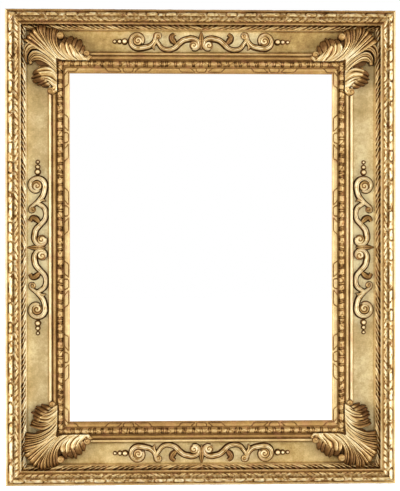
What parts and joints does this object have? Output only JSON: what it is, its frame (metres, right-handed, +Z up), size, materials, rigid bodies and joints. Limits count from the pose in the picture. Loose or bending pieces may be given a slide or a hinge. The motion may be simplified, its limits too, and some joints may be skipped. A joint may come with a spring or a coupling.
{
  "type": "picture frame",
  "caption": "Carved and gilded picture frame: half-lapped back frame, mitred leaf-carved mouldings, corner acanthus leaves, frieze scrolls, ring hangers and turn buttons.",
  "frame": {"origin": "centre of the top rail's rear face, where the frame lies against a wall", "axes": "+Z up, +Y into the wall, so the carved front faces -Y, and +X to the viewer's right"},
  "size_m": [0.672, 0.0637, 0.818],
  "materials": {
    "back_wood": "old planed poplar, unfinished, darkened with age",
    "peg_wood": "split hardwood pegs, unfinished",
    "gilt_outer": "carved wood, gessoed and water gilded, toned brown in the hollows",
    "gilt_sight": "carved wood, gessoed and water gilded, rubbed to the red bole on the beads",
    "gilt_leaf": "carved wood, gessoed and burnished, brown toning in the flutes",
    "gilt_scroll": "carved wood, gessoed and gilded, dark toning round the stems",
    "gilt_bead": "turned and gilded drops",
    "iron_nail": "cut brads, dark",
    "brass_hanger": "stamped brass, dull",
    "brass_button": "stamped brass, dull",
    "steel_screw": "slotted screws, dull steel"
  },
  "bodies": {
    "frame": {"back_stile_left": "back_wood", "back_stile_right": "back_wood", "back_rail_top": "back_wood", "back_rail_bottom": "back_wood", "lap_pegs": "peg_wood", "outer_moulding_left": "gilt_outer", "outer_moulding_right": "gilt_outer", "outer_moulding_top": "gilt_outer", "outer_moulding_bottom": "gilt_outer", "sight_moulding_left": "gilt_sight", "sight_moulding_right": "gilt_sight", "sight_moulding_top": "gilt_sight", "sight_moulding_bottom": "gilt_sight", "moulding_nails": "iron_nail", "corner_leaf_top_left": "gilt_leaf", "corner_leaf_top_right": "gilt_leaf", "corner_leaf_bottom_left": "gilt_leaf", "corner_leaf_bottom_right": "gilt_leaf", "scroll_left": "gilt_scroll", "scroll_right": "gilt_scroll", "scroll_top": "gilt_scroll", "scroll_bottom": "gilt_scroll", "bead_drops_left": "gilt_bead", "bead_drops_right": "gilt_bead", "bead_drops_top": "gilt_bead", "bead_drops_bottom": "gilt_bead", "hanger_strap_left": "brass_hanger", "hanger_strap_right": "brass_hanger", "hanger_screws": "steel_screw", "button_screws": "steel_screw"},
    "hanger_ring_left": {"hanger_ring_left": "brass_hanger"},
    "hanger_ring_right": {"hanger_ring_right": "brass_hanger"},
    "turn_button_left_upper": {"turn_button_left_upper": "brass_button"},
    "turn_button_left_lower": {"turn_button_left_lower": "brass_button"},
    "turn_button_right_upper": {"turn_button_right_upper": "brass_button"},
    "turn_button_right_lower": {"turn_button_right_lower": "brass_button"},
    "turn_button_top_left": {"turn_button_top_left": "brass_button"},
    "turn_button_top_right": {"turn_button_top_right": "brass_button"},
    "turn_button_bottom_left": {"turn_button_bottom_left": "brass_button"},
    "turn_button_bottom_right": {"turn_button_bottom_right": "brass_button"}
  },
  "joints": [
    {"name": "hanger_swing_left", "type": "hinge", "parent": "frame", "child": "hanger_ring_left", "pos_m": [-0.29, 0.00278, -0.104], "axis": [1, 0, 0], "range_deg": [0, 170]},
    {"name": "hanger_swing_right", "type": "hinge", "parent": "frame", "child": "hanger_ring_right", "pos_m": [0.29, 0.00278, -0.104], "axis": [1, 0, 0], "range_deg": [0, 170]},
    {"name": "button_turn_left_upper", "type": "hinge", "parent": "frame", "child": "turn_button_left_upper", "pos_m": [-0.2405, -0.0048, -0.2135], "axis": [0, 1, 0], "range_deg": [0, 180]},
    {"name": "button_turn_left_lower", "type": "hinge", "parent": "frame", "child": "turn_button_left_lower", "pos_m": [-0.2405, -0.0048, -0.5125], "axis": [0, -1, 0], "range_deg": [0, 180]},
    {"name": "button_turn_right_upper", "type": "hinge", "parent": "frame", "child": "turn_button_right_upper", "pos_m": [0.2405, -0.0048, -0.2135], "axis": [0, -1, 0], "range_deg": [0, 180]},
    {"name": "button_turn_right_lower", "type": "hinge", "parent": "frame", "child": "turn_button_right_lower", "pos_m": [0.2405, -0.0048, -0.5125], "axis": [0, 1, 0], "range_deg": [0, 180]},
    {"name": "button_turn_top_left", "type": "hinge", "parent": "frame", "child": "turn_button_top_left", "pos_m": [-0.0904, -0.0048, -0.0495], "axis": [0, -1, 0], "range_deg": [0, 180]},
    {"name": "button_turn_top_right", "type": "hinge", "parent": "frame", "child": "turn_button_top_right", "pos_m": [0.0904, -0.0048, -0.0495], "axis": [0, 1, 0], "range_deg": [0, 180]},
    {"name": "button_turn_bottom_left", "type": "hinge", "parent": "frame", "child": "turn_button_bottom_left", "pos_m": [-0.0904, -0.0048, -0.6765], "axis": [0, 1, 0], "range_deg": [0, 180]},
    {"name": "button_turn_bottom_right", "type": "hinge", "parent": "frame", "child": "turn_button_bottom_right", "pos_m": [0.0904, -0.0048, -0.6765], "axis": [0, -1, 0], "range_deg": [0, 180]}
  ]
}
